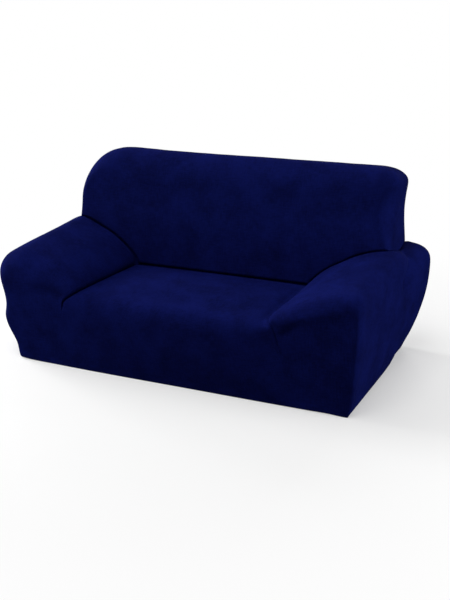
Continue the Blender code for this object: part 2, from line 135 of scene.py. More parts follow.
# creaseX is the crease at the back, where it turns and on the front face; creaseFade and frontTuck
# say how it runs out there; shoulder is the power of the superellipse, narrower the share by which
# the front face is narrower, and nose how far the tip bulges over the seat
leftArm = dict(
    name="arm_panel_left", side=-1, backX=0.817, creaseX=(0.482, 0.493, 0.549), faceSeamZ=0.318,
    creaseFade=0.13, frontTuck=0.45, shoulder=2.0, narrower=0.187, nose=0.0,
    # by column: depth of the front roll, and the share by which the front face sits lower
    frontRound=(0.080, 0.068, 0.075, 0.088, 0.100, 0.045),
    lower=(0.060, 0.090, 0.150, 0.180, 0.210, 0.100),
    # from the crease up to the crest: share of the width, share of the rise
    top=np.array(((0.0, 0.0), (0.04, 0.18), (0.12, 0.34), (0.22, 0.465), (0.33, 0.58),
                  (0.465, 0.70), (0.65, 0.81), (0.85, 0.93), (1.0, 1.0))),
    # y, crest x, crest height, side x, shoulder height, hem x
    sections=np.array((
        (-0.420, 0.790, 0.546, 0.924, 0.43, 0.838), (-0.300, 0.790, 0.562, 0.918, 0.44, 0.835),
        (-0.150, 0.790, 0.576, 0.912, 0.45, 0.833), (0.000, 0.790, 0.590, 0.910, 0.46, 0.834),
        (0.107, 0.790, 0.601, 0.908, 0.47, 0.838), (0.300, 0.795, 0.575, 0.930, 0.46, 0.845),
        (0.446, 0.795, 0.570, 0.970, 0.45, 0.850))),
    # height, share of the way in from the side to the hem
    drawIn=np.array(((0.0, 0.84), (0.035, 0.77), (0.080, 0.70), (0.118, 0.48), (0.158, 0.22),
                     (0.205, 0.06), (0.270, 0.24), (0.335, 0.22), (0.400, 0.02), (0.480, 0.0))),
    # each fold: a chain of points, its width and its height
    folds=[
        # a hollow beside the end of the crease, and a slight fullness further out
        (((-0.560, -0.470, 0.345), (-0.610, -0.470, 0.362), (-0.680, -0.472, 0.366)), 0.030, -0.006),
        (((-0.700, -0.470, 0.405), (-0.780, -0.470, 0.405), (-0.840, -0.455, 0.415)), 0.035, 0.004),
    ])
rightArm = dict(
    name="arm_panel_right", side=1, backX=0.838, creaseX=(0.476, 0.480, 0.500), faceSeamZ=0.347,
    creaseFade=0.45, frontTuck=0.30, shoulder=2.6, narrower=0.075, nose=0.014,
    frontRound=(0.026, 0.055, 0.055, 0.058, 0.064, 0.060),
    lower=(0.100, 0.100, 0.100, 0.130, 0.205, 0.300),
    top=np.array(((0.0, 0.0), (0.03, 0.16), (0.07, 0.24), (0.236, 0.474), (0.41, 0.646),
                  (0.61, 0.823), (0.86, 0.96), (1.0, 1.0))),
    sections=np.array((
        (-0.420, 0.828, 0.535, 0.884, 0.46, 0.836), (-0.300, 0.830, 0.548, 0.887, 0.45, 0.840),
        (-0.150, 0.832, 0.562, 0.894, 0.45, 0.845), (0.000, 0.834, 0.577, 0.904, 0.46, 0.850),
        (0.107, 0.836, 0.584, 0.914, 0.47, 0.853), (0.225, 0.836, 0.562, 0.926, 0.46, 0.853),
        (0.320, 0.836, 0.541, 0.944, 0.45, 0.846), (0.446, 0.838, 0.557, 0.970, 0.46, 0.850))),
    drawIn=np.array(((0.0, 1.0), (0.045, 0.73), (0.120, 0.45), (0.175, 0.31), (0.300, 0.11),
                     (0.480, 0.0))),
    folds=[
        # the valley behind the pillow of the arm, and the pillow's own end
        (((0.850, 0.300, 0.56), (0.890, 0.285, 0.545), (0.922, 0.235, 0.500), (0.930, 0.160, 0.430)),
         0.038, -0.020),
        (((0.800, 0.130, 0.59), (0.860, 0.150, 0.565), (0.900, 0.110, 0.510)), 0.030, 0.003),
        # the pillow of the arm rolls under along its front edge
        (((0.505, -0.468, 0.326), (0.545, -0.472, 0.332), (0.575, -0.473, 0.358),
          (0.636, -0.474, 0.395)), 0.015, -0.004),
        (((0.500, -0.460, 0.380), (0.540, -0.462, 0.378), (0.580, -0.464, 0.400)), 0.022, 0.006),
        (((0.525, -0.462, 0.345), (0.590, -0.465, 0.387), (0.650, -0.466, 0.417),
          (0.720, -0.467, 0.443), (0.790, -0.467, 0.460)), 0.022, 0.004),
    ])
# where the tip of an arm bulges over the seat: height, and the rows and columns it fades over
tip = dict(z=0.374, high=0.040, fromRow=1.4, overRows=0.7, lastRow=3.12, fadeRows=0.5,
           fromColumn=2.5, overColumns=0.4)
armColumnsAt = (0, 1, 1.5, 2, 2.5, 3)           # the columns of frontRound and lower
hemColumns = 0.25           # the rear edge turns up only above these columns, so the hem stays level


def seamAt(arm, v):
    # seam of seat and arm: straight over the seat, a quarter ellipse, straight to the foot
    over, turn = np.clip(v - 1, 0, 1), np.clip(v - 2, 0, 1) * np.pi / 2
    down = np.clip(v - 3, 0, 1)
    xBack, xTurn, xFace = arm["creaseX"]
    x = mix(xBack, xTurn, over) + (xFace - xTurn) * (1 - np.cos(turn))
    x = mix(x, seamLine["footX"], down)
    y = mix(cover["creaseY"], seamLine["turnY"], over)
    ahead = np.sin(turn) ** seamLine["square"]
    y = mix(y + (seamLine["faceY"] - seamLine["turnY"]) * ahead, cover["hemFrontY"], down)
    high = np.cos(turn) ** seamLine["square"]
    z = (arm["faceSeamZ"] + (cover["creaseZ"] - arm["faceSeamZ"]) * high) * (1 - down)
    depth = cloth["tuck"] * mix(1.0, arm["frontTuck"], np.sin(turn))
    return x, y, z, depth * ease(1 - down / arm["creaseFade"]), np.sin(turn), -np.cos(turn)


def gapAt(arm, v):
    # the gap between seat and arm closes before the crease runs out
    return cloth["halfGap"] * ease(1 - np.clip(v - 3, 0, 1) / (cloth["gapFade"] * arm["creaseFade"]))


def armHeight(arm, x, y):
    # height of the arm top: a table of the rise to the crest, then a superellipse to the side
    rows, top = arm["sections"], arm["top"]
    crestX, crestZ, sideX, sideZ = (through(rows[:, 0], rows[:, k], y) for k in (1, 2, 3, 4))
    inner = np.clip((x - arm["creaseX"][0]) / (crestX - arm["creaseX"][0]), 0.0, 1.0)
    rise = cover["creaseZ"] + (crestZ - cover["creaseZ"]) * through(top[:, 0], top[:, 1], inner)
    outer = np.clip((x - crestX) / (sideX - crestX), 0.0, 1.0)
    power = arm["shoulder"]
    fall = sideZ + (crestZ - sideZ) * (1 - outer ** power) ** (1 / power)
    return np.where(x < crestX, rise, fall)


def armSection(arm, u, y):
    # section of an arm: side (u 0..1), superellipse shoulder (1..2), top to the crease (2..3)
    rows = arm["sections"]
    crestX, crestZ, sideX, sideZ, hemX = (through(rows[:, 0], rows[:, k], y)
                                          for k in (1, 2, 3, 4, 5))
    low = np.clip(u, 0, 1)
    z = sideZ * low
    share = through(arm["drawIn"][:, 0], arm["drawIn"][:, 1], z)
    x = sideX - (sideX - hemX) * mix(share, (1 - low) ** 2, ease(y / cover["rearY"]))
    power = arm["shoulder"]
    last = np.arccos(((arm["backX"] - crestX) / (sideX - crestX)) ** (power / 2))
    angle = np.clip(u - 1, 0, 1) * last
    x = np.where(u > 1, crestX + (sideX - crestX) * np.cos(angle) ** (2 / power), x)
    z = np.where(u > 1, sideZ + (crestZ - sideZ) * np.sin(angle) ** (2 / power), z)
    topX = mix(arm["backX"], arm["creaseX"][0], np.clip(u - 2, 0, 1))
    return np.where(u > 2, topX, x), np.where(u > 2, armHeight(arm, topX, y), z)


def armShape(arm, u, v):
    # the section swept from rear to front, its ends turned in by quarter circles
    front = through(armColumnsAt, arm["frontRound"], u)
    rear, turn = np.clip(-v, 0, 1) * np.pi / 2, np.clip(v - 2, 0, 1) * np.pi / 2
    y = np.where(v < 1, mix(cover["rearY"] - cover["rearRound"], cover["creaseY"], np.clip(v, 0, 1)),
                 mix(cover["creaseY"], cover["frontY"] + front, np.clip(v - 1, 0, 1)))
    x, z = armSection(arm, u, y)
    xBefore, zBefore = armSection(arm, np.clip(u - slopeStep, 0, 3), y)
    xAfter, zAfter = armSection(arm, np.clip(u + slopeStep, 0, 3), y)
    length = np.hypot(xAfter - xBefore, zAfter - zBefore)
    x = x - (zAfter - zBefore) / length * rearInset(v)
    z = z + (xAfter - xBefore) / length * rearInset(v) * ease(u / hemColumns)
    x = x - (x - seamLine["footX"]) * arm["narrower"] * (1 - np.cos(turn))
    z = z - z * through(armColumnsAt, arm["lower"], u) * (1 - np.cos(turn))
    lean = (cover["hemFrontY"] - cover["frontY"]) * np.clip(1 - z / cover["hemInZ"], 0, 1)
    return x, y + cover["rearRound"] * np.sin(rear) + (lean - front) * np.sin(turn), z


def armGrid(arm, columns, rows):
    # points of an arm: the shape, pinned to the seat crease by the square of its last column, with
    # the cloth rolled into the creases by quarter circles
    u = np.asarray(columns, float)[None, :] + np.zeros((len(rows), 1))
    v = np.asarray(rows, float)[:, None] + np.zeros((1, len(columns)))
    x, y, z = armShape(arm, u, np.minimum(v, 3))
    beside = (v <= 1) & (u <= 2)
    xBack = arm["backX"] - rearInset(v)
    xEdge = armShape(arm, np.full_like(v, 2.0), np.minimum(v, 3))[0]
    x = np.where(beside, x + (xBack - xEdge) * ease(u - 1), x)
    end = armShape(arm, np.full_like(v, 3.0), np.minimum(v, 3))
    pinned = seamAt(arm, np.minimum(v, 3))
    pin = np.clip(u - 2, 0, 1) ** 2 * (v >= 1)
    x, y, z = (a + pin * (b - c) for a, b, c in zip((x, y, z), pinned[:3], end))
    down = np.clip(v - 3, 0, 1)
    x, y, z = mix(x, seamLine["footX"], down), mix(y, cover["hemFrontY"], down), z * (1 - down)
    seamX, seamY, seamZ, depth, tuckY, tuckZ = seamAt(arm, v)
    toSeam = np.sqrt((x - seamX) ** 2 + (y - seamY) ** 2 + (z - seamZ) ** 2)
    besideSeat = roll(toSeam, cloth["tuckRoll"]) * (v >= 1)
    out, ahead = np.maximum(x - xBack, 0.0), np.maximum(cover["creaseY"] - y, 0.0)
    roundBack = roll(np.hypot(out, ahead), cloth["backRoll"]) * (u > 1)
    # the tip bulges over the seat, and the cloth curls under beside seat and back
    bulge = (np.exp(-((z - tip["z"]) / tip["high"]) ** 2) * ease((v - tip["fromRow"]) / tip["overRows"])
             * ease((tip["lastRow"] - v) / tip["fadeRows"]))
    x = x - arm["nose"] * bulge * ease((u - tip["fromColumn"]) / tip["overColumns"])
    under = roll(np.maximum(toSeam - curl["lip"], 0), curl["width"])
    x = x + curl["seat"] * under * depth / cloth["tuck"] * (v >= 1) * ease(ahead / curl["corner"])
    lip = np.clip(1 - ahead / curl["lip"], 0, 1) ** 2
    y = y + curl["back"] * lip * (v >= 1) * ease((u - curl["fromColumn"]) / curl["overColumns"])
    y = y + tuckY * depth * besideSeat
    z = z + np.minimum(tuckZ * depth * besideSeat, -backTuck(v) * roundBack)
    y = y + (rearY(z) - cover["rearY"]) * np.clip(1 - v, 0, 1)
    lean = np.clip(1 - (v - 1) / back["fade"], 0, 1) ** 2 * ease(u - 1) * (v >= 1)
    y = y + (faceY(z) - cover["creaseY"]) * lean
    x = x + gapAt(arm, v) * ((u >= 3) | ((u == 2) & (v <= 1)))
    y = y - cloth["halfGap"] * ((v == 1) & (u >= 2))
    return np.stack([x * arm["side"], y, z], axis=-1)


seat = dict(
    # heights from the back crease to the front edge, as shares of the way
    riseAt=(0.0, 0.25, 0.50, 0.75, 1.0), rise=(0.378, 0.393, 0.400, 0.395, 0.375),
    edgeZ=0.375, edgeY=-0.388, skirtTopZ=0.255,         # the front edge rolls between these
    bow=0.010, square=0.90, crown=3,            # bow of the skirt, powers of the edge and the crown
    rightRoll=0.030, narrowFrom=2.3, narrowOver=0.6,    # a wider roll at right, but not on the front
    # the seat sinks a little beside the arm on its right
    folds=[(((0.476, 0.08, 0.376), (0.478, -0.15, 0.376), (0.480, -0.34, 0.372), (0.486, -0.44, 0.352),
             (0.500, -0.47, 0.300)), 0.045, -0.010)])


def seatGrid(columns, rows):
    # points of the seat: a span between the two seams, crowned by 1 less a power of |2u - 1|, its
    # front edge a superellipse, rolled into the seams and the back by quarter circles
    u = np.asarray(columns, float)[None, :] + np.zeros((len(rows), 1))
    v = np.asarray(rows, float)[:, None] + np.zeros((1, len(columns)))
    left, right = seamAt(leftArm, v), seamAt(rightArm, v)
    x = mix(-left[0] + gapAt(leftArm, v), right[0] - gapAt(rightArm, v), u)
    over, down = np.clip(v - 1, 0, 1), np.clip(v - 3, 0, 1)
    turn = np.clip(v - 2, 0, 1) * np.pi / 2
    ahead, high = np.sin(turn) ** seat["square"], np.cos(turn) ** seat["square"]
    yMid = mix(cover["creaseY"], seat["edgeY"], over) + (cover["frontY"] - seat["edgeY"]) * ahead
    yMid = mix(yMid, cover["hemFrontY"], down) - seat["bow"] * np.sin(down * np.pi)
    zMid = through(seat["riseAt"], seat["rise"], over)
    zMid = zMid - (seat["edgeZ"] - seat["skirtTopZ"]) * (1 - high)
    zMid = np.where(v > 3, seat["skirtTopZ"] * (1 - down), zMid)
    crown = 1 - abs(2 * u - 1) ** seat["crown"]
    y, z = mix(mix(left[1], right[1], u), yMid, crown), mix(mix(left[2], right[2], u), zMid, crown)
    narrow = ease((v - seat["narrowFrom"]) / seat["narrowOver"])
    widthRight = mix(seat["rightRoll"], cloth["tuckRoll"], narrow)
    sideRoll = np.maximum(roll(x + left[0], cloth["tuckRoll"]), roll(right[0] - x, widthRight))
    rearRoll = roll(np.maximum(cover["creaseY"] - y, 0), cloth["tuckRoll"])
    depth = mix(left[3], right[3], u)
    for edge, side in ((left, -1), (right, 1)):
        lip = np.clip(1 - np.maximum(edge[0] - side * x, 0) / curl["lip"], 0, 1) ** 2
        lip = lip * ease((cover["creaseY"] - y) / curl["corner"])
        x = x + side * curl["seat"] * lip * edge[3] / cloth["tuck"]
    y = y + curl["back"] * np.clip(1 - (cover["creaseY"] - y) / curl["lip"], 0, 1) ** 2 * (v < 2)
    y = y + mix(left[4], right[4], u) * depth * sideRoll
    both = np.where(v < 2, 1 - (1 - sideRoll) * (1 - rearRoll), sideRoll)
    z = z + mix(left[5], right[5], u) * depth * both
    y = y + (faceY(z) - cover["creaseY"]) * np.clip(1 - (v - 1) / back["fade"], 0, 1) ** 2
    y = y - cloth["halfGap"] * (v == 1)
    return np.stack([x, y, z], axis=-1)


back = dict(
    tilt=0.046, flatZ=0.56, more=0.018, moreOver=0.30,  # lean of the face, and more of it higher up
    fade=0.50,                                  # rows over which seat and arms follow that lean
    # corners: centre x and z, radius across and up
    leftCorner=(-0.567, 0.712, 0.250, 0.243), rightCorner=(0.733, 0.866, 0.1235, 0.078),
    cornerFull=(0.84, 1.08),                    # powers of the left corner, across and up
    leftBow=0.005,                              # the left side bows in by this much
    # along the top edge: how far it sags
    sagAt=(0.0, 0.15, 0.3, 0.5, 0.8, 1.0), sag=(0.0, 0.003, 0.0045, 0.003, 0.0015, 0.0),
    # the right side, by height
    sideZ=(0.50, 0.60, 0.72, 0.79, 0.866), sideX=(0.839, 0.835, 0.834, 0.842, 0.8565),
    # along the outline: how deep and how far in the cloth rounds to the face and to the rear
    roundAt=(0.0, 0.6, 1.0, 1.5, 2.0, 2.75, 3.0, 3.5, 4.0, 4.4, 5.0),
    frontDeep=(.008, .018, .034, .070, .096, .100, .096, .085, .080, .120, .010),
    frontIn=(.008, .015, .026, .070, .150, .150, .098, .070, .052, .080, .010),
    rearDeep=(.030, .034, .045, .090, .115, .115, .115, .080, .045, .034, .030),
    rearIn=(.030, .030, .032, .055, .070, .070, .070, .045, .032, .030, .030))


def backOutline(t, bottomLeft, bottomRight):
    # outline of the back: left side 0..1, superellipse corner, sagging top 2..3, elliptic corner,
    # right side 4..5 through its own table
    cx, cz, rx, rz = back["leftCorner"]
    dx, dz, sx, sz = back["rightCorner"]
    part = np.clip(np.floor(t), 0, 4).astype(int)
    f = t - part
    turn = f * np.pi / 2
    sideX = through(back["sideZ"], back["sideX"], mix(dz, bottomRight, f))
    across, up = back["cornerFull"]
    leftX = cx - rx + back["leftBow"] * np.sin(f * np.pi)
    x = np.choose(part, [leftX, cx - rx * np.cos(turn) ** across, mix(cx, dx, f),
                         dx + sx * np.sin(turn), sideX])
    topZ = mix(cz + rz, dz + sz, f) - through(back["sagAt"], back["sag"], f)
    z = np.choose(part, [mix(bottomLeft, cz, f), cz + rz * np.sin(turn) ** up, topZ,
                         dz + sz * np.cos(turn), mix(dz, bottomRight, f)])
    return x, z


def backGrid(columns, rows):
    # points of the inside back: the outline, turned in by quarter ellipses to the rear and to the
    # face, whose rows then run straight down to the creases
    t = np.asarray(columns, float)[None, :] + np.zeros((len(rows), 1))
    v = np.asarray(rows, float)[:, None] + np.zeros((1, len(columns)))
    frontDeep, frontIn, rearDeep, rearIn = (
        through(back["roundAt"], back[key], t) for key in ("frontDeep", "frontIn", "rearDeep", "rearIn"))
    rear, turn = np.clip(-v, 0, 1) * np.pi / 2, np.clip(v - 1, 0, 1) * np.pi / 2
    low = []
    for arm in (leftArm, rightArm):
        yLow = (mix(cover["rearY"] - cover["rearRound"], cover["creaseY"], np.clip(v, 0, 1))
                + cover["rearRound"] * np.sin(rear))
        low.append(armHeight(arm, np.full_like(v, arm["backX"]), yLow) - backTuck(v) - rearInset(v))
    x, z = backOutline(t, *low)
    xBefore, zBefore = backOutline(np.clip(t - slopeStep, 0, 5), *low)
    xAfter, zAfter = backOutline(np.clip(t + slopeStep, 0, 5), *low)
    length = np.hypot(xAfter - xBefore, zAfter - zBefore)
    inset = (rearIn * (1 - np.cos(rear)) + cover["rearFlat"] * np.clip(-v - 1, 0, 1)
             + frontIn * (1 - np.cos(turn)))
    x = x + (zAfter - zBefore) / length * inset
    z = z - (xAfter - xBefore) / length * inset
    y = mix(rearY(z) - rearDeep, faceY(z) + frontDeep, np.clip(v, 0, 1))
    y = y + rearDeep * np.sin(rear) - frontDeep * np.sin(turn)
    down = np.clip(v - 2, 0, 1)
    x = mix(x, mix(-leftArm["creaseX"][0], rightArm["creaseX"][0], t / 5), down)
    z = mix(z, cover["creaseZ"] - cloth["tuck"], down)
    level = np.full_like(v, cover["creaseY"])
    for arm, nearArm in ((leftArm, t), (rightArm, 5 - t)):
        onArm = armHeight(arm, mix(arm["backX"], arm["creaseX"][0], down), level)
        straight = mix(armHeight(arm, np.full_like(v, arm["backX"]), level), cover["creaseZ"], down)
        z = z + (onArm - straight) * np.clip(1 - nearArm, 0, 1) ** 2 * (v > 2)
    y = np.where(v >= 2, faceY(z) + cloth["halfGap"], y)
    x = x - cloth["halfGap"] * np.sign(x) * (((t <= 0.5) | (t >= 4.5)) & (v < 2))
    points = np.stack([x, y, z], axis=-1)
    # along the arms and the seat the cloth curls back and under
    face = rows >= 2
    onArms = np.minimum(toChain(points, points[face][::2, 0]), toChain(points, points[face][::2, -1]))
    onSeat = toChain(points, points[-1, ::2])
    above = np.minimum(onArms - curl["armShare"] * cloth["backTuck"] - curl["clearArm"],
                       onSeat - cloth["tuck"] - curl["clearSeat"])
    above = np.maximum(above, 0)
    points[..., 1] += curl["back"] * roll(above, curl["width"]) * ease(v - 1)
    return points


def outsideGrid(leftEdge, backEdge, rightEdge, rows):
    # outside back: straight lines from the rear seam down to the rear hem
    edge = np.concatenate([leftEdge[:-1], backEdge, rightEdge[:-1][::-1]])
    run = np.concatenate([[0], np.cumsum(np.linalg.norm(np.diff(edge, axis=0), axis=1))])
    foot = np.stack([mix(-cover["outsideHemX"], cover["outsideHemX"], run / run[-1]),
                     np.full(len(run), cover["rearY"]), np.zeros(len(run))], axis=-1)
    step = np.diff(edge, axis=0)
    square = np.stack([step[:, 2], 0 * step[:, 1], -step[:, 0]], axis=-1)
    square = square / np.linalg.norm(square, axis=1)[:, None]
    before, after = np.concatenate([square[:1], square]), np.concatenate([square, square[-1:]])
    mitre = (before + after) / (1 + (before * after).sum(axis=1))[:, None]
    edge = edge + mitre * 2 * cloth["halfGap"]
    grid = edge[None] + (foot - edge)[None] * np.asarray(rows, float)[:, None, None]
    grid[..., 2] = np.maximum(grid[..., 2], 0.0)
    grid[..., 1] = rearY(grid[..., 2])
    return grid


def steps(*parts):
    # joins even runs (start, end, count) into one list of parameters
    runs = [np.linspace(a, b, n, endpoint=False) for a, b, n in parts]
    return np.concatenate(runs + [[parts[-1][1]]])


def towards(a, b, n, power):
    # a run from a to b that is finer near a
    return a + (b - a) * np.linspace(0, 1, n, endpoint=False) ** power


# rows and columns of each panel, finest in the creases and at the hem
behindRows = steps((-2, -1, 4), (-1, 0, 8), (0, 1, 40))[:-1]
overRows = np.concatenate([towards(1, 1.08, 10, 2), steps((1.08, 1.94, 48), (1.94, 3, 34))[:-1]])
downRows = steps((3, 3.92, 46), (3.92, 4, 10))
armRows = np.concatenate([behindRows, overRows, downRows])
armColumns = np.concatenate([
    steps((0, 0.06, 10), (0.06, 1, 46), (1, 2, 26), (2, 2.91, 46))[:-1],
    3 - towards(0, 0.09, 11, 2)[::-1]])
seatRows = np.concatenate([overRows, steps((3, 3.92, 40), (3.92, 4, 8))])
seatColumns = np.concatenate([towards(0, 0.04, 8, 2), np.linspace(0.04, 0.96, 126),
                              1 - towards(0, 0.04, 8, 2)[::-1]])
backColumns = np.concatenate([
    towards(0, 0.22, 22, 1.2),
    steps((0.22, 1, 22), (1, 2, 46), (2, 3, 120), (3, 4, 24), (4, 4.78, 30))[:-1],
    5 - towards(0, 0.22, 22, 1.2)[::-1]])
backRows = np.concatenate([behindRows, steps((1, 2, 26), (2, 2.84, 44), (2.84, 2.96, 22))[:-1],
                           3 - towards(0, 0.04, 6, 1.4)[::-1]])
outsideRows = steps((0, 0.04, 6), (0.04, 0.96, 84), (0.96, 1, 8))


def outward(points, inside):
    # unit normals of a grid: cross product of its two directions, turned away from the inside
    along, across = np.gradient(points, axis=0), np.gradient(points, axis=1)
    normal = np.cross(along, across)
    length = np.linalg.norm(normal, axis=2)
    normal = normal / np.maximum(length, 1e-12)[..., None]
    thin = length < 1e-10
    normal[thin] = (0.0, -1.0, 0.0)
    way = (length * (normal * (points - np.array(inside))).sum(axis=2)).sum()
    return np.where(thin[..., None], normal, normal * np.sign(way))


soften = dict(passes=10, share=0.8)


def softened(points, free):
    # each point moves to the mean of its four neighbours, as far as free (0..1) lets it
    for _ in range(soften["passes"]):
        mean = points.copy()
        mean[1:-1, 1:-1] = (points[:-2, 1:-1] + points[2:, 1:-1] + points[1:-1, :-2]
                            + points[1:-1, 2:]) / 4
        points = mix(points, mean, free[..., None] * soften["share"])
    return points


def smoothChain(chain):
    # a smooth chain through a few points in space, drawn with four times as many points
    knots = np.arange(len(chain))
    at = np.linspace(0, len(chain) - 1, 4 * len(chain))
    return np.stack([through(knots, chain[:, k], at) for k in range(3)], axis=-1)


def folded(points, normals, folds, free):
    # soft troughs and ridges: height * exp(-(distance / width)^2) along a chain of points
    for chain, width, height in folds:
        away = toChain(points, smoothChain(np.array(chain)))
        points = points + normals * (height * np.exp(-(away / width) ** 2) * free)[..., None]
    return points


def uneven(points):
    # the drawn cloth is never quite even: three slow waves, each the product of two sines, half a
    # millimetre high and less
    x, y, z = points[..., 0], points[..., 1], points[..., 2]
    return (0.0005 * np.sin(19 * x + 4 * z + 1.0) * np.sin(19 * y + 15 * z)
            + 0.0003 * np.sin(37 * x - 11 * y + 2.0) * np.sin(31 * z - 9 * x + 0.5)
            + 0.0002 * np.sin(61 * y + 17 * x) * np.sin(53 * z + 47 * x + 1.3))


# the hem is turned and stands a little proud; in front it isn't quite level, from left to right
hem = dict(wide=0.027, step=0.003, proud=0.0009,
           liftAt=(-0.85, -0.79, -0.60, 0.10, 0.50, 0.66, 0.76, 0.800, 0.85),
           lift=(0.010, 0.004, 0.000, 0.000, 0.001, 0.002, 0.003, 0.001, 0.0),
           liftHigh=0.12, liftFromY=-0.30, liftOver=0.10)


def hemLift(points):
    # a few millimetres up along the front hem, the same for every panel, fading upwards and rearwards
    lift = through(hem["liftAt"], hem["lift"], points[..., 0])
    near = (ease(1 - points[..., 2] / hem["liftHigh"])
            * ease((hem["liftFromY"] - points[..., 1]) / hem["liftOver"]))
    return points + np.stack([0 * lift, 0 * lift, lift * near], axis=-1)


def finished(points, folds, inside, free):
    # the raw grid softened, folded and made uneven along its normals, with its turned hem
    points = softened(points, free)
    normals = outward(points, inside)
    points = folded(points, normals, folds, free)
    points = points + normals * (uneven(points) * free)[..., None]
    proud = hem["proud"] * ease((hem["wide"] - points[..., 2]) / hem["step"])
    return hemLift(points + normals * proud[..., None] * (1, 1, 0))


# metres from the hem, the seams and the creases over which the cloth comes free to move, and the
# rows and columns over which it does so at the panels' edges
fadeIn = dict(hem=0.03, seamFrom=0.010, seam=0.035, besideFrom=0.008, beside=0.030,
              borderFrom=0.02, border=0.04, rearRows=0.6, hemRows=0.1, creaseRow=1.02,
              creaseRows=0.08, sideColumns=0.3)


def armFree(arm, points, columns, rows):
    # 0 where the cloth must stay: at the hem, the seams and the creases; 1 a few centimetres away
    u = np.asarray(columns)[None, :] + np.zeros((len(rows), 1))
    v = np.asarray(rows)[:, None] + np.zeros((1, len(columns)))
    sx, sy, sz = seamAt(arm, v)[:3]
    place = points * (arm["side"], 1, 1)
    toSeam = np.sqrt((place[..., 0] - sx) ** 2 + (place[..., 1] - sy) ** 2 + (place[..., 2] - sz) ** 2)
    beside = np.hypot(np.maximum(place[..., 0] - arm["backX"], 0),
                      np.maximum(cover["creaseY"] - place[..., 1], 0))
    free = (ease((v + 1) / fadeIn["rearRows"]) * ease(place[..., 2] / fadeIn["hem"])
            * ease((4 - v) / fadeIn["hemRows"]))
    free = free * np.where(v >= 1, ease((toSeam - fadeIn["seamFrom"]) / fadeIn["seam"]), 1)
    return free * np.where(u > 1, ease((beside - fadeIn["besideFrom"]) / fadeIn["beside"]), 1)


def seatFree(points, columns, rows):
    # the same for the seat, by the distance to its two side seams and the first rows
    v = np.asarray(rows)[:, None] + np.zeros((1, len(columns)))
    left, right = seamAt(leftArm, v), seamAt(rightArm, v)
    side = np.minimum(points[..., 0] + left[0], right[0] - points[..., 0])
    free = (ease((side - fadeIn["seamFrom"]) / fadeIn["seam"])
            * ease((v - fadeIn["creaseRow"]) / fadeIn["creaseRows"]))
    return free * ease(points[..., 2] / fadeIn["hem"])


def backFree(points, columns, rows):
    # the same for the inside back, by the distance to the edge of its face
    t = np.asarray(columns)[None, :] + np.zeros((len(rows), 1))
    v = np.asarray(rows)[:, None] + np.zeros((1, len(columns)))
    face = np.asarray(rows) >= 2
    border = np.concatenate([points[face][:, 0], points[-1, 1:-1], points[face][::-1, -1]])
    free = ease((toChain(points, border[::3]) - fadeIn["borderFrom"]) / fadeIn["border"])
    return (free * ease((v + 1) / fadeIn["rearRows"]) * ease(t / fadeIn["sideColumns"])
            * ease((5 - t) / fadeIn["sideColumns"]))


# a point in the hollow behind each panel, from which its outer side faces away
hollowPoint = dict(left=(-0.72, 0.0, 0.2), right=(0.72, 0.0, 0.2), seat=(0.0, -0.1, 0.1),
                   back=(0.0, 0.3, 0.4), outside=(0.0, 0.2, 0.4))
leftPoints = armGrid(leftArm, armColumns, armRows)
rightPoints = armGrid(rightArm, armColumns, armRows)
seatPoints = seatGrid(seatColumns, seatRows)
backPoints = backGrid(backColumns, backRows)
leftFree = armFree(leftArm, leftPoints, armColumns, armRows)
rightFree = armFree(rightArm, rightPoints, armColumns, armRows)
leftPoints = finished(leftPoints, leftArm["folds"], hollowPoint["left"], leftFree)
rightPoints = finished(rightPoints, rightArm["folds"], hollowPoint["right"], rightFree)
seatPoints = finished(seatPoints, seat["folds"], hollowPoint["seat"],
                      seatFree(seatPoints, seatColumns, seatRows))
backPoints = finished(backPoints, [], hollowPoint["back"],
                      backFree(backPoints, backColumns, backRows))
outer = armColumns <= 2
outsidePoints = outsideGrid(leftPoints[0, outer], backPoints[0], rightPoints[0, outer], outsideRows)
print("panels worked out:", leftPoints.shape, seatPoints.shape, backPoints.shape, outsidePoints.shape)


def linear(hexColour):
    # sRGB hex to linear light: c/12.92 below 0.04045, else ((c+0.055)/1.055)^2.4
    parts = [int(hexColour[i:i + 2], 16) / 255 for i in (0, 2, 4)]
    return [c / 12.92 if c <= 0.04045 else ((c + 0.055) / 1.055) ** 2.4 for c in parts] + [1.0]


def node(tree, kind, links=(), **settings):
    # adds a node, sets its properties or numbered inputs, and joins sockets to its inputs
    made = tree.nodes.new(kind)
    for key, value in settings.items():
        if key.startswith("in") and key[2:].isdigit():
            made.inputs[int(key[2:])].default_value = value
        else:
            setattr(made, key, value)
    for socket, entry in links:
        tree.links.new(socket, made.inputs[entry])
    return made


jersey = dict(
    # real loops are about 1.2 mm apart, too fine to show, and are drawn over five times as coarse
    wale=0.0062, course=0.0070, slant=1.4,
    streakWide=0.007, streakLong=0.034,         # lighter and darker threads, both ways
    loops=0.10, fuzz=0.35, hatch=0.62,          # how much each one counts in the tone
    fuzzFine=260.0, cloudFine=9.0,              # fine and slow noise, per metre
    fibreHeight=0.8,                            # height of the fibres against the loops
    toneFrom=0.82, toneTo=1.72, deepAt=0.17, paleAt=0.83, deep="090E3E", pale="0F1758",
    rough=0.95, specular=0.01, bump=0.35, bumpDeep=0.0006)


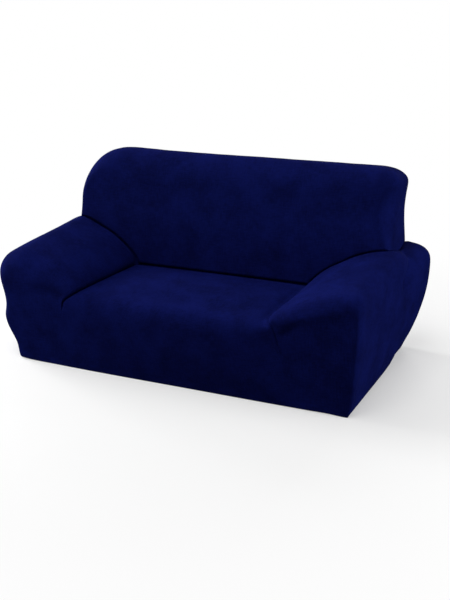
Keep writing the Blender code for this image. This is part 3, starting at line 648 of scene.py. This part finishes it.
def knittedJersey():
    # knitted polyester-spandex jersey, stretched: to the eye it is matt and deep blue, with fine
    # upright rows of loops, threads that differ a little in tone, and a nap that kills the gloss
    material = bpy.data.materials.new("knittedPolyesterSpandexJersey")
    material.use_nodes = True
    tree = material.node_tree
    shader = tree.nodes["Principled BSDF"]
    shader.inputs["Roughness"].default_value = jersey["rough"]
    shader.inputs["Specular IOR Level"].default_value = jersey["specular"]
    # loops: a sine across the wales plus a sine along the courses, slanted by the first one
    uv = node(tree, "ShaderNodeUVMap", uv_map="cloth")
    split = node(tree, "ShaderNodeSeparateXYZ", [(uv.outputs[0], 0)])
    wale = node(tree, "ShaderNodeMath", [(split.outputs[0], 0)], operation="MULTIPLY",
                in1=2 * math.pi / jersey["wale"])
    course = node(tree, "ShaderNodeMath", [(split.outputs[1], 0)], operation="MULTIPLY",
                  in1=2 * math.pi / jersey["course"])
    waleWave = node(tree, "ShaderNodeMath", [(wale.outputs[0], 0)], operation="SINE")
    slant = node(tree, "ShaderNodeMath", [(waleWave.outputs[0], 0), (course.outputs[0], 2)],
                 operation="MULTIPLY_ADD", in1=jersey["slant"])
    courseWave = node(tree, "ShaderNodeMath", [(slant.outputs[0], 0)], operation="SINE")
    loops = node(tree, "ShaderNodeMath", [(waleWave.outputs[0], 0), (courseWave.outputs[0], 1)],
                 operation="ADD")
    # slow clouds, fine fuzz, and noise stretched along the threads of either direction; a noise
    # node's inputs 2 to 4 are its scale, its detail and its roughness
    place = node(tree, "ShaderNodeTexCoord")
    cloudy = node(tree, "ShaderNodeTexNoise", [(place.outputs["Object"], 0)], in2=jersey["cloudFine"],
                  in3=2.0, in4=0.5)
    fuzz = node(tree, "ShaderNodeTexNoise", [(place.outputs["Object"], 0)], in2=jersey["fuzzFine"],
                in3=2.0, in4=0.6)
    streaks = []
    for across, along in ((jersey["streakWide"], jersey["streakLong"]),
                          (jersey["streakLong"], jersey["streakWide"])):
        stretched = node(tree, "ShaderNodeMapping", [(uv.outputs[0], 0)],
                         in3=(1 / across, 1 / along, 1.0))
        streak = node(tree, "ShaderNodeTexNoise", [(stretched.outputs[0], 0)], in2=1.0, in3=1.5,
                      in4=0.5)
        streaks.append(streak.outputs[0])
    hatch = node(tree, "ShaderNodeMath", [(streaks[0], 0), (streaks[1], 1)], operation="ADD")
    # the tone adds them up, and a ramp turns it into the cloth's two blues
    tone = node(tree, "ShaderNodeMath", [(loops.outputs[0], 0), (cloudy.outputs[0], 2)],
                operation="MULTIPLY_ADD", in1=jersey["loops"])
    tone = node(tree, "ShaderNodeMath", [(fuzz.outputs[0], 0), (tone.outputs[0], 2)],
                operation="MULTIPLY_ADD", in1=jersey["fuzz"])
    tone = node(tree, "ShaderNodeMath", [(hatch.outputs[0], 0), (tone.outputs[0], 2)],
                operation="MULTIPLY_ADD", in1=jersey["hatch"])
    level = node(tree, "ShaderNodeMapRange", [(tone.outputs[0], 0)], in1=jersey["toneFrom"],
                 in2=jersey["toneTo"])
    ramp = node(tree, "ShaderNodeValToRGB", [(level.outputs[0], 0)])
    deep, pale = ramp.color_ramp.elements
    deep.position, deep.color = jersey["deepAt"], linear(jersey["deep"])
    pale.position, pale.color = jersey["paleAt"], linear(jersey["pale"])
    tree.links.new(ramp.outputs[0], shader.inputs["Base Color"])
    height = node(tree, "ShaderNodeMath", [(fuzz.outputs[0], 0), (loops.outputs[0], 2)],
                  operation="MULTIPLY_ADD", in1=jersey["fibreHeight"])
    bump = node(tree, "ShaderNodeBump", [(height.outputs[0], "Height")])
    bump.inputs["Strength"].default_value = jersey["bump"]
    bump.inputs["Distance"].default_value = jersey["bumpDeep"]
    tree.links.new(bump.outputs[0], shader.inputs["Normal"])
    return material


clothMaterial = knittedJersey()
print("jersey made")


def makePanel(name, points, uvs, inside, drop=None):
    # quads on a grid of points, facing away from a point inside, thickened to the inner side
    rows, columns = points.shape[:2]
    index = np.arange(rows * columns).reshape(rows, columns)
    quads = np.stack([index[:-1, :-1], index[:-1, 1:], index[1:, 1:], index[1:, :-1]], axis=-1)
    if drop is not None:
        quads, uvs = quads[~drop], uvs[~drop]
    mesh = bpy.data.meshes.new(name + "_cloth")
    mesh.from_pydata(points.reshape(-1, 3).tolist(), [], quads.reshape(-1, 4).tolist())
    layer = mesh.uv_layers.new(name="cloth")
    layer.data.foreach_set("uv", uvs.reshape(-1, 2).astype(np.float32).ravel())
    work = bmesh.new()
    work.from_mesh(mesh)
    bmesh.ops.remove_doubles(work, verts=work.verts, dist=1e-6)
    bmesh.ops.delete(work, geom=[v for v in work.verts if not v.link_faces], context="VERTS")
    work.normal_update()
    middle = Vector(inside)
    if sum(f.calc_area() * f.normal.dot(f.calc_center_median() - middle) for f in work.faces) < 0:
        bmesh.ops.reverse_faces(work, faces=work.faces)
    work.to_mesh(mesh)
    work.free()
    mesh.shade_smooth()
    mesh.materials.append(clothMaterial)
    piece = bpy.data.objects.new(name + "_cloth", mesh)
    bpy.context.scene.collection.objects.link(piece)
    thick = piece.modifiers.new("cloth thickness", "SOLIDIFY")
    thick.thickness, thick.offset = cloth["thick"], -1.0
    solid = bpy.data.meshes.new_from_object(piece.evaluated_get(bpy.context.evaluated_depsgraph_get()))
    piece.modifiers.clear()
    piece.data = solid
    solid.set_sharp_from_angle(angle=math.radians(60))      # the cut edge stays crisp
    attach(piece, "root")
    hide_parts(name)
    return piece


def cornersOf(field):
    # values at the four corners of every quad of the grid
    return np.stack([field[:-1, :-1], field[:-1, 1:], field[1:, 1:], field[1:, :-1]], axis=2)


def clothUv(points, rows, flatFrom):
    # metres along the rows and columns; from row flatFrom on, the pattern lies flat in x and z
    across = np.linalg.norm(np.diff(points, axis=1), axis=2).max(axis=0)
    along = np.linalg.norm(np.diff(points, axis=0), axis=2).max(axis=1)
    u = np.concatenate([[0], np.cumsum(across)])[None, :] + np.zeros((len(points), 1))
    v = np.concatenate([[0], np.cumsum(along)])[:, None] + np.zeros((1, points.shape[1]))
    run = cornersOf(np.stack([u, v], axis=-1))
    flat = cornersOf(points[..., [0, 2]])
    use = (np.asarray(rows)[:-1] >= flatFrom)[:, None, None, None]
    return np.where(use, flat, run)


# the part of an arm's grid that would lie inside the back is dropped
rowStep, columnStep = np.meshgrid(armRows[:-1], armColumns[:-1], indexing="ij")
insideBack = (rowStep < 1) & (columnStep >= 2)
# each panel with the row from which its pattern lies flat, and the quads that it drops; its flat
# size is the one before stretching: the stretched area over 1.25
panels = dict(
    left=dict(name=leftArm["name"], points=leftPoints, rows=armRows, patternFlat=3,
              drop=insideBack, flat=(1.02, 0.80), under="seat"),
    right=dict(name=rightArm["name"], points=rightPoints, rows=armRows, patternFlat=3,
               drop=insideBack, flat=(1.02, 0.80), under="seat"),
    seat=dict(name="seat_panel", points=seatPoints, rows=seatRows, patternFlat=9, drop=None,
              flat=(0.95, 0.85), under="back"),
    back=dict(name="inside_back_panel", points=backPoints, rows=backRows, patternFlat=2, drop=None,
              flat=(1.45, 0.81), under="seat"),
    outside=dict(name="outside_back_panel", points=outsidePoints, rows=outsideRows, patternFlat=-1,
                 drop=None, flat=(1.50, 0.80), under="back"))
for key, panel in panels.items():
    uvs = clothUv(panel["points"], panel["rows"], panel["patternFlat"])
    makePanel(panel["name"], panel["points"], uvs, hollowPoint[key], panel["drop"])


# pale paper, whose share of its own glow rises from glowNear to all of it with the distance
studio = dict(paper="F2F2F2", rough=0.9, glowNear=0.4, fadeFrom=1.1, fadeTo=2.6, half=60.0, z=-0.002)


def studioFloorMaterial():
    # matt paper sweep: even and without gloss, so that it shows only a faint soft shadow
    material = bpy.data.materials.new("mattPaperSweep")
    material.use_nodes = True
    tree = material.node_tree
    shader = tree.nodes["Principled BSDF"]
    shader.inputs["Base Color"].default_value = linear(studio["paper"])
    shader.inputs["Roughness"].default_value = studio["rough"]
    place = node(tree, "ShaderNodeTexCoord")
    far = node(tree, "ShaderNodeVectorMath", [(place.outputs["Object"], 0)], operation="LENGTH")
    fade = node(tree, "ShaderNodeMapRange", [(far.outputs["Value"], 0)], interpolation_type="SMOOTHSTEP",
                in1=studio["fadeFrom"], in2=studio["fadeTo"], in3=studio["glowNear"])
    glow = node(tree, "ShaderNodeEmission", in0=(1.0, 1.0, 1.0, 1.0), in1=1.0)
    both = node(tree, "ShaderNodeMixShader", [(fade.outputs[0], 0), (shader.outputs[0], 1),
                                              (glow.outputs[0], 2)])
    tree.links.new(both.outputs[0], tree.nodes["Material Output"].inputs["Surface"])
    return material


half, floorZ = studio["half"], studio["z"]
floorMesh = bpy.data.meshes.new("studioFloor")
floorMesh.from_pydata([(-half, -half, floorZ), (half, -half, floorZ), (half, half, floorZ),
                       (-half, half, floorZ)], [], [(0, 1, 2, 3)])
floorMesh.materials.append(studioFloorMaterial())
floor = bpy.data.objects.new("studioFloor", floorMesh)
floor.visible_diffuse, floor.visible_glossy = False, False      # it throws no light on the cloth
bpy.context.scene.collection.objects.link(floor)

# name, watts, size, place and what it is aimed at
wide, middleOfCover = (4.0, 4.0), (0.0, 0.0, 0.4)
lights = (
    ("frontSoftbox", 277, wide, (0.0, -3.38, 7.65), middleOfCover),
    ("leftSoftbox", 229, wide, (-6.53, 0.57, 4.99), middleOfCover),
    ("lowLeftSoftbox", 500, wide, (-7.70, 0.67, 2.47), middleOfCover),
    ("leftFrontSoftbox", 80, wide, (-7.00, -1.88, 3.78), middleOfCover),
    ("rearSoftbox", 181, wide, (0.0, 6.93, 4.4), middleOfCover),
    ("closeLeftPanel", 4.2, (0.6, 0.6), (-1.5, -1.4, 0.3), (-0.75, -0.45, 0.25)),
    ("rightPanel", 54.0, (2.4, 1.0), (3.6, -0.2, 0.7), (0.9, 0.0, 0.4)))


def areaLight(name, energy, size, place, target):
    # a soft panel that points from its place to the target
    lamp = bpy.data.lights.new(name, "AREA")
    lamp.specular_factor = 0.3          # a weak highlight, since the nap of the cloth breaks it up
    lamp.energy = energy
    lamp.shape, lamp.size, lamp.size_y = "RECTANGLE", size[0], size[1]
    stand = bpy.data.objects.new(name, lamp)
    stand.location = place
    stand.visible_camera = False
    stand.rotation_euler = (Vector(place) - Vector(target)).to_track_quat("Z", "Y").to_euler()
    bpy.context.scene.collection.objects.link(stand)


for light in lights:
    areaLight(*light)

# the world lights the cloth softly, and the camera sees it as plain white
worldLight = 0.109
world = bpy.data.worlds.new("studioWorld")
bpy.context.scene.world = world
world.use_nodes = True
worldTree = world.node_tree
seen = node(worldTree, "ShaderNodeLightPath")
soft = worldTree.nodes["Background"]
soft.inputs["Color"].default_value = (1.0, 1.0, 1.0, 1.0)
soft.inputs["Strength"].default_value = worldLight
bright = node(worldTree, "ShaderNodeBackground", in0=(1.0, 1.0, 1.0, 1.0), in1=1.0)
either = node(worldTree, "ShaderNodeMixShader", [(seen.outputs["Is Camera Ray"], 0),
                                                 (soft.outputs[0], 1), (bright.outputs[0], 2)])
worldTree.links.new(either.outputs[0], worldTree.nodes["World Output"].inputs["Surface"])

# the camera looks down from the right of the front; azimuth and elevation in degrees, lens in mm
view = dict(azimuth=24.13, elevation=17.93, place=(1.70136, -3.63222, 1.5708), lens=51.51,
            sensor=36.0)
camera = bpy.data.cameras.new("camera")
camera.lens, camera.sensor_width, camera.sensor_fit = view["lens"], view["sensor"], "AUTO"
cameraStand = bpy.data.objects.new("camera", camera)
azimuth, elevation = math.radians(view["azimuth"]), math.radians(view["elevation"])
awayFrom = Vector((math.sin(azimuth) * math.cos(elevation), -math.cos(azimuth) * math.cos(elevation),
                   math.sin(elevation)))
cameraStand.location = view["place"]
cameraStand.rotation_euler = awayFrom.to_track_quat("Z", "Y").to_euler()
bpy.context.scene.collection.objects.link(cameraStand)
bpy.context.scene.camera = cameraStand
bpy.context.scene.view_settings.view_transform = "Standard"
print("camera and lights placed")
